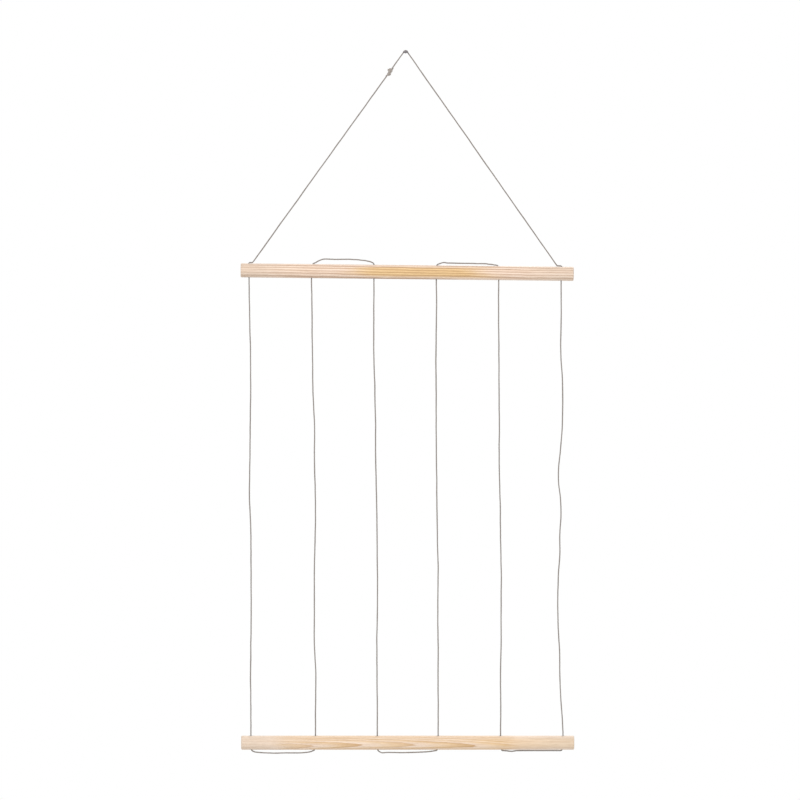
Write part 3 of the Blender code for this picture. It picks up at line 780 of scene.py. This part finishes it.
def make_twine(sections, material):
    """All stretches of twine, twisted as one, by name, and the line that each follows."""
    chance = random.Random(11)
    pieces, lines = {}, {}
    laid = 0.0
    for name, points in sections:
        line = evenly(points, RING_STEP)
        draft = Draft()
        frames = twist_along(draft, line, laid)
        if not name.startswith(("twine_end", "twine_elbow")):
            add_hairs(draft, frames, chance)
        pieces[name] = draft.piece(name, material, STRAND_SHARP_FROM)
        lines[name] = line
        laid += lengths_along(line)[-1]
        ride_and_replace(pieces[name], name)
    return pieces, lines


def knot_half(draft, middle, axis, wrap_radius, chance):
    """One half of the knot: wraps round the leg, then the end drawn back across them."""
    across = axis.cross(Vector((0, 1, 0))).normalized()
    front = Vector((0, -1, 0))
    step = KNOT_WRAP_STEP
    turns = KNOT_WRAP_TURNS
    wraps = []
    for number in range(round(turns * KNOT_TURN_POINTS)):
        angle = math.tau * number / KNOT_TURN_POINTS
        shift = (number / KNOT_TURN_POINTS - turns / 2) * step
        ease = min(1, 0.45 + number / 8)
        spoke = across * math.cos(angle) + front * math.sin(angle)
        wraps.append(middle + axis * shift + spoke * wrap_radius * ease)
    over = wrap_radius + TWINE_RADIUS * 1.2
    back = []
    for share in (0.1, 0.22, 0.34, 0.46, 0.58, 0.70, 0.82, 0.94):
        angle = math.tau * turns + math.pi * 0.95 * share
        shift = turns / 2 * step * (1 - 2 * share) + step * 0.25
        spoke = across * math.cos(angle) + front * math.sin(angle)
        lift = wrap_radius + (over - wrap_radius) * min(1, share * 3, (1 - share) * 4 + 0.4)
        back.append(middle + axis * shift + spoke * lift)
    way = (back[-1] - back[-2]).normalized()
    tail = [back[-1] + way * 0.9 * MM - axis * 0.4 * MM, back[-1] + way * 1.3 * MM - axis * 1.5 * MM]
    line = evenly(smooth_route([*wraps, *back, *tail], 4), KNOT_RING_STEP)
    frames = twist_along(draft, line, chance.uniform(0, 1), KNOT_THICKNESS)
    add_hairs(draft, frames, chance, KNOT_THICKNESS)


def make_knot(material):
    """A knot of two halves drawn against each other, each round the other end of the twine."""
    chance = random.Random(5)
    foot = top.place(top.holes[0] + LEFT_END_RUN, DOWEL_RADIUS + LYING_HEIGHT)
    up, touch = leg_line(foot, -1)
    aside = Vector((-up.z, 0, up.x))
    draft = Draft()
    upper = touch - up * KNOT_UPPER_DISTANCE + aside * KNOT_UPPER_ASIDE
    lower = touch - up * KNOT_LOWER_DISTANCE + aside * KNOT_LOWER_ASIDE
    knot_half(draft, upper, -up, KNOT_UPPER_RADIUS, chance)
    knot_half(draft, lower, up, KNOT_LOWER_RADIUS, chance)
    knot = draft.piece("hanger_knot_tied", material, STRAND_SHARP_FROM)
    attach(knot, "hanger")
    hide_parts("hanger_knot")
    return knot


# Dowels

def turned_mesh(profile, segments):
    """A solid turned round X from (radius, along) points that start and end on the axis."""
    shape = bmesh.new()
    points = [shape.verts.new((along, radius, 0)) for radius, along in profile]
    edges = [shape.edges.new(pair) for pair in zip(points, points[1:])]
    bmesh.ops.spin(shape, geom=points + edges, cent=(0, 0, 0), axis=(1, 0, 0), angle=math.tau,
                   steps=segments, use_merge=True)
    bmesh.ops.remove_doubles(shape, verts=shape.verts, dist=0.0005 * MM)
    bmesh.ops.recalc_face_normals(shape, faces=shape.faces)
    return shape


def dowel_profile():
    """Half the dowel's outline: sawn ends with rounded edges, and rings close enough to carve."""
    half = DOWEL_LENGTH / 2
    flat = DOWEL_RADIUS - DOWEL_EDGE_RADIUS
    end = [(flat * share, half) for share in (0, 0.2, 0.4, 0.6, 0.8)]
    for step in range(EDGE_STEPS + 1):
        turn = math.pi / 2 * step / EDGE_STEPS
        end.append((flat + DOWEL_EDGE_RADIUS * math.sin(turn),
                    half - DOWEL_EDGE_RADIUS * (1 - math.cos(turn))))
    straight = [(DOWEL_RADIUS, half - number * CARVING_STEP)
                for number in range(1, round(DOWEL_LENGTH / CARVING_STEP))]
    return end + straight + [(radius, -along) for radius, along in reversed(end)]


def drill_mesh(holes):
    """Six drills side by side, each with a flare that eases the hole's mouths."""
    outer = DOWEL_RADIUS + DRILL_OVERRUN
    side = [(0.0, outer), (HOLE_RADIUS + HOLE_EASE + DRILL_OVERRUN, outer),
            (HOLE_RADIUS + HOLE_EASE * 0.35, DOWEL_RADIUS - HOLE_EASE * 0.35),
            (HOLE_RADIUS, DOWEL_RADIUS - HOLE_EASE)]
    profile = side + [(radius, -along) for radius, along in reversed(side)]
    drills = bmesh.new()
    for hole in holes:
        one = turned_mesh(profile, HOLE_SEGMENTS)
        upright = Matrix.Translation((hole, 0, 0)) @ Matrix.Rotation(math.pi / 2, 4, "Y")
        bmesh.ops.transform(one, matrix=upright, verts=one.verts)
        loose = bpy.data.meshes.new("drill")
        one.to_mesh(loose)
        one.free()
        drills.from_mesh(loose)
        bpy.data.meshes.remove(loose)
    mesh = bpy.data.meshes.new("drills")
    drills.to_mesh(mesh)
    drills.free()
    return mesh


def make_dowel(name, dowel, node, body, material, seed):
    """A drilled dowel, a little uneven from sanding, with rough sawn ends."""
    shape = turned_mesh(dowel_profile(), DOWEL_SEGMENTS)
    half = DOWEL_LENGTH / 2
    for point in shape.verts:
        along = point.co.x
        out = Vector((0, point.co.y, point.co.z))
        if out.length > DOWEL_RADIUS * 0.99 and abs(along) < half - DOWEL_EDGE_RADIUS:
            rough = noise.noise(Vector((along * 14, out.y * 160, out.z * 160 + seed)))
            point.co -= out.normalized() * abs(rough) * SANDING_DEPTH
        elif abs(along) > half - 0.01 * MM and out.length < DOWEL_RADIUS * 0.9:
            rough = noise.noise(Vector((seed, out.y * 900, out.z * 900)))
            point.co.x -= math.copysign(abs(rough) * SAWING_DEPTH, along)
    mesh = bpy.data.meshes.new(name)
    shape.to_mesh(mesh)
    shape.free()
    piece = bpy.data.objects.new(name, mesh)
    bpy.context.collection.objects.link(piece)
    drills = bpy.data.objects.new(name + "_drills", drill_mesh(dowel.holes))
    bpy.context.collection.objects.link(drills)
    cut = piece.modifiers.new("holes", "BOOLEAN")
    cut.operation = "DIFFERENCE"
    cut.solver = "EXACT"
    cut.object = drills
    drilled = bpy.data.meshes.new_from_object(piece.evaluated_get(bpy.context.evaluated_depsgraph_get()))
    piece.modifiers.clear()
    piece.data = drilled
    bpy.data.objects.remove(drills)
    drilled.shade_smooth()
    drilled.set_sharp_from_angle(angle=math.radians(32))
    drilled.materials.clear()
    drilled.materials.append(material)
    piece.location = dowel.centre
    piece.rotation_euler = dowel.rotation.to_euler()
    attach(piece, body)
    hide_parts(node)


# Nail

def make_nail(material):
    """A brad with a flat bar-shaped head, a gripped shank and a tapered round point, driven along +Y."""
    shape = bmesh.new()
    layers = (
        (0.55, NAIL_HEAD_FRONT), (0.22, NAIL_HEAD_FRONT + 0.05 * MM), (0.0, NAIL_HEAD_FRONT + 0.25 * MM),
        (0.0, NAIL_HEAD_BACK - 0.2 * MM), (0.15, NAIL_HEAD_BACK))
    rings = []
    for inset, depth in layers:
        radius = NAIL_HEAD_HEIGHT / 2 - inset * MM
        reach = (NAIL_HEAD_WIDTH - NAIL_HEAD_HEIGHT) / 2
        ring = []
        for side in (1, -1):
            for step in range(13):
                angle = math.pi * (step / 12 - 0.5)
                ring.append(shape.verts.new((side * (reach + radius * math.cos(angle)), depth,
                                             side * radius * math.sin(angle))))
        rings.append(ring)
    for near, far in zip(rings, rings[1:]):
        for number, corner in enumerate(near):
            after = (number + 1) % len(near)
            shape.faces.new((corner, near[after], far[after], far[number]))
    shape.faces.new(rings[0])
    shape.faces.new(rings[-1])
    bmesh.ops.recalc_face_normals(shape, faces=shape.faces)
    mesh = bpy.data.meshes.new("nail_head")
    shape.to_mesh(mesh)
    shape.free()
    nail = bpy.data.objects.new("wall_nail_steel", mesh)
    bpy.context.collection.objects.link(nail)

    full, neck, pinched = (NAIL_SHANK_RADIUS * share for share in (1.0, 1.35, 0.93))
    inside = NAIL_HEAD_FRONT + 0.6 * MM
    profile = [(0.0, inside), (neck, inside), (neck, NAIL_HEAD_BACK), (full, NAIL_HEAD_BACK + 0.5 * MM)]
    for groove in range(5):
        start = NAIL_HEAD_BACK + (5.2 + groove * 0.8) * MM
        profile += [(full, start), (pinched, start + 0.15 * MM),
                    (pinched, start + 0.35 * MM), (full, start + 0.5 * MM)]
    profile += [(full, NAIL_BURIED_LENGTH - NAIL_POINT_LENGTH),
                (full * 0.55, NAIL_BURIED_LENGTH - NAIL_POINT_LENGTH * 0.5), (0.0, NAIL_BURIED_LENGTH)]
    shank = turned_mesh(profile, NAIL_SEGMENTS)
    bmesh.ops.transform(shank, matrix=Matrix.Rotation(math.pi / 2, 4, "Z"), verts=shank.verts)
    shank_mesh = bpy.data.meshes.new("nail_shank")
    shank.to_mesh(shank_mesh)
    shank.free()
    shank_piece = bpy.data.objects.new("nail_shank", shank_mesh)
    bpy.context.collection.objects.link(shank_piece)
    join = nail.modifiers.new("shank", "BOOLEAN")
    join.operation = "UNION"
    join.solver = "EXACT"
    join.object = shank_piece
    joined = bpy.data.meshes.new_from_object(nail.evaluated_get(bpy.context.evaluated_depsgraph_get()))
    nail.modifiers.clear()
    nail.data = joined
    bpy.data.objects.remove(shank_piece)
    joined.shade_smooth()
    joined.set_sharp_from_angle(angle=math.radians(35))
    joined.materials.clear()
    joined.materials.append(material)
    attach(nail, "wall_nail")
    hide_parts("wall_nail")


# Floor, lamps and background

def make_floor():
    """A plain pale floor below the display, which doesn't belong to it."""
    mesh = bpy.data.meshes.new("floor")
    outline = [(x * FLOOR_HALF, y * FLOOR_HALF, 0) for x, y in ((-1, -1), (1, -1), (1, 1), (-1, 1))]
    mesh.from_pydata(outline, [], [(0, 1, 2, 3)])
    floor = bpy.data.objects.new("floor", mesh)
    floor.location = (0, 0, FLOOR_Z)
    bpy.context.collection.objects.link(floor)
    mesh.materials.append(Shader("floor").finish(
        Base_Color=linear(240, 239, 237), Roughness=0.9, Specular_IOR_Level=0.1))


def add_lamp(name, place, target, size, power):
    lamp = bpy.data.lights.new(name, "AREA")
    lamp.shape = "DISK"
    lamp.size = size
    lamp.energy = power
    light = bpy.data.objects.new(name, lamp)
    light.location = place
    light.rotation_euler = (Vector(target) - Vector(place)).to_track_quat("-Z", "Y").to_euler()
    bpy.context.collection.objects.link(light)


def light_scene():
    world = bpy.data.worlds.new("studio")
    bpy.context.scene.world = world
    world.use_nodes = True
    nodes, links = world.node_tree.nodes, world.node_tree.links
    soft = nodes["Background"]
    soft.inputs["Color"].default_value = (0.93, 0.97, 1, 1)
    soft.inputs["Strength"].default_value = WORLD_STRENGTH
    white = nodes.new("ShaderNodeBackground")
    white.inputs["Color"].default_value = (1, 1, 1, 1)
    white.inputs["Strength"].default_value = 1
    path = nodes.new("ShaderNodeLightPath")
    shown = [path.outputs[name] for name in ("Is Camera Ray", "Is Glossy Ray", "Is Transmission Ray")]
    any_shown = shown[0]
    for output in shown[1:]:
        either = nodes.new("ShaderNodeMath")
        either.operation = "MAXIMUM"
        links.new(any_shown, either.inputs[0])
        links.new(output, either.inputs[1])
        any_shown = either.outputs[0]
    mix = nodes.new("ShaderNodeMixShader")
    links.new(any_shown, mix.inputs[0])
    links.new(soft.outputs[0], mix.inputs[1])
    links.new(white.outputs[0], mix.inputs[2])
    links.new(mix.outputs[0], nodes["World Output"].inputs["Surface"])
    add_lamp("key", (-0.9, -2.2, 1.1), (0, 0, -0.4), 1.2, KEY_POWER)
    add_lamp("fill", (1.4, -2.0, 0.1), (0, 0, -0.45), 1.6, FILL_POWER)
    add_lamp("back", (0.6, 1.6, 0.9), (0, 0, -0.4), 1.2, BACK_POWER)


make_camera()
top = Dowel(TOP_DOWEL_CENTRE, TOP_DOWEL_TILT, TOP_HOLES_OFFSET, (0.0,) * HOLE_COUNT)
bottom = Dowel(BOTTOM_DOWEL_CENTRE, 0.0, BOTTOM_HOLES_OFFSET, BOTTOM_HOLE_DRIFT_SHARES)
twine = twine_fibre("twine", (108, 100, 94), (152, 143, 135), (192, 182, 172))
pieces, lines = make_twine(twine_sections(top, bottom), twine)
# The knot's twine is painted lighter than the rest of the twine: painted light that offsets the shade in the
# knot's crevices
knot = make_knot(twine_fibre("knotted_twine", (142, 133, 126), (184, 174, 165), (214, 205, 195)))
top_pine = pine(
    "top_pine", 72.8, (-0.9615, 0.0, 0.0), 3.05, (0.0, 2.4, 3.0), 0.9,
    ((0.0, (249, 226, 207)), (0.40, (247, 221, 200)), (0.58, (230, 200, 176)), (0.76, (190, 154, 126)),
     (0.90, (198, 162, 134)), (1.0, (246, 220, 198))),
    0.0, (-62, 92), 0.95, 0.35, top.holes)
bottom_pine = pine(
    "bottom_pine", 38.27, (-0.265, -0.47, -17.6), 2.2, (0.89, 14.8, -12.4), 0.35,
    ((0.0, (247, 224, 204)), (0.35, (244, 218, 191)), (0.62, (237, 204, 163)), (0.84, (224, 187, 142)),
     (0.965, (212, 171, 127)), (1.0, (245, 221, 200))),
    0.85, (90, 300), 0.35, 0.35, bottom.holes)
make_dowel("top_dowel_wood", top, "top_dowel", "top_bar", top_pine, 1.0)
make_dowel("bottom_dowel_wood", bottom, "bottom_dowel", "bottom_bar", bottom_pine, 2.0)
make_nail(dull_steel())
make_floor()
light_scene()
bpy.context.scene.view_settings.view_transform = "Standard"
